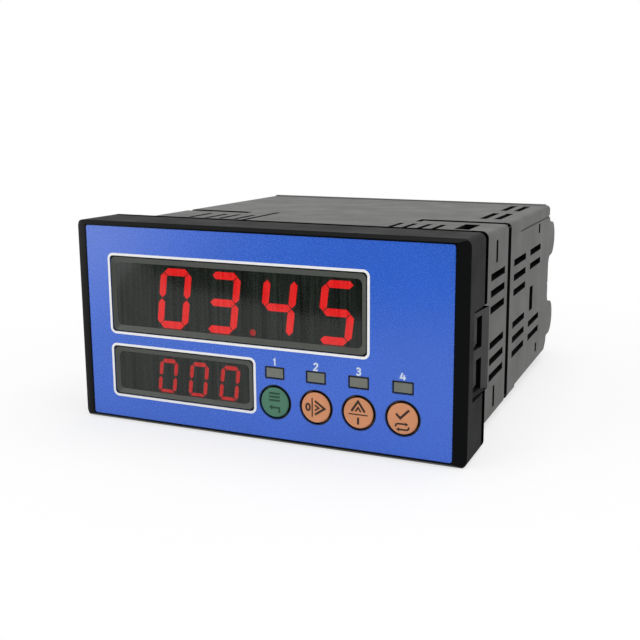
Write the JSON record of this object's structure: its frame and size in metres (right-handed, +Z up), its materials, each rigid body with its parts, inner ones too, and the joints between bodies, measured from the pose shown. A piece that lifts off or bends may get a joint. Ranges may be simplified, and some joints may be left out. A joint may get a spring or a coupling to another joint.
{
  "type": "weighing indicator",
  "caption": "Panel-mounted weighing indicator in a short rectangular bezel with red numeral readouts, round push keys, a vented snap-fit housing and rear screw terminals",
  "frame": {"origin": "under the middle of the part's bounding box, at the level of the bezel's underside", "axes": "the keys and windows face -Y, the terminals face +Y, X runs along the bezel's width to the right as seen from the front, Z is up"},
  "size_m": [0.097, 0.1068, 0.048],
  "materials": {
    "bezel_plastic": "fine matt moulded black",
    "fascia_blue": "printed sheet with a satin surface",
    "window_smoke": "smoked clear plastic",
    "indicator_grey": "translucent grey",
    "key_green": "satin rubbery plastic",
    "key_orange": "satin rubbery plastic",
    "switch_black": "moulded black",
    "circuit_board": "green solder mask",
    "plated_steel": "bright zinc plate",
    "readout_black": "matt black face",
    "segment_lit": "lit red",
    "segment_dark": "unlit, dark red",
    "lamp_clear": "water-clear resin",
    "case_grey": "fine matt moulded grey",
    "connector_cream": "natural nylon",
    "core_steel": "varnished laminations",
    "coil_wrap": "yellow tape wrap",
    "relay_blue": "blue moulded cover",
    "terminal_black": "moulded black",
    "terminal_brass": "tinned brass"
  },
  "bodies": {
    "instrument": {"bezel_frame": "bezel_plastic", "fascia_overlay": "fascia_blue", "main_window_lens": "window_smoke", "lower_window_lens": "window_smoke", "indicator_lenses": "indicator_grey", "display_board": "circuit_board", "display_board_screws": "plated_steel", "main_display_housing": "readout_black", "main_segments_lit": "segment_lit", "main_segments_dark": "segment_dark", "lower_display_housing": "readout_black", "lower_segments_lit": "segment_lit", "lower_segments_dark": "segment_dark", "indicator_leds": "lamp_clear", "switch_bodies": "switch_black", "case_shell": "case_grey", "power_board": "circuit_board", "signal_board": "circuit_board", "lower_board_socket": "connector_cream", "upper_board_socket": "connector_cream", "lower_board_header": "switch_black", "upper_board_header": "switch_black", "transformer_core": "core_steel", "transformer_coil": "coil_wrap", "output_relays": "relay_blue", "smoothing_capacitors": "switch_black", "signal_chips": "switch_black", "upper_terminal_block": "terminal_black", "lower_terminal_block": "terminal_black", "upper_terminal_tags": "terminal_brass", "lower_terminal_tags": "terminal_brass", "upper_clamp_plates": "plated_steel", "lower_clamp_plates": "plated_steel", "upper_terminal_screws": "plated_steel", "lower_terminal_screws": "plated_steel"},
    "set_key": {"key_set": "key_green", "plunger_set": "switch_black"},
    "shift_key": {"key_shift": "key_orange", "plunger_shift": "switch_black"},
    "up_key": {"key_up": "key_orange", "plunger_up": "switch_black"},
    "enter_key": {"key_enter": "key_orange", "plunger_enter": "switch_black"}
  },
  "joints": [
    {"name": "set_press", "type": "slide", "parent": "instrument", "child": "set_key", "axis": [0, 1, 0], "range_m": [0, 0.0005], "stiffness_N_per_m": 1500, "springref_m": -0.0003},
    {"name": "shift_press", "type": "slide", "parent": "instrument", "child": "shift_key", "axis": [0, 1, 0], "range_m": [0, 0.0005], "stiffness_N_per_m": 1500, "springref_m": -0.0003},
    {"name": "up_press", "type": "slide", "parent": "instrument", "child": "up_key", "axis": [0, 1, 0], "range_m": [0, 0.0005], "stiffness_N_per_m": 1500, "springref_m": -0.0003},
    {"name": "enter_press", "type": "slide", "parent": "instrument", "child": "enter_key", "axis": [0, 1, 0], "range_m": [0, 0.0005], "stiffness_N_per_m": 1500, "springref_m": -0.0003}
  ]
}
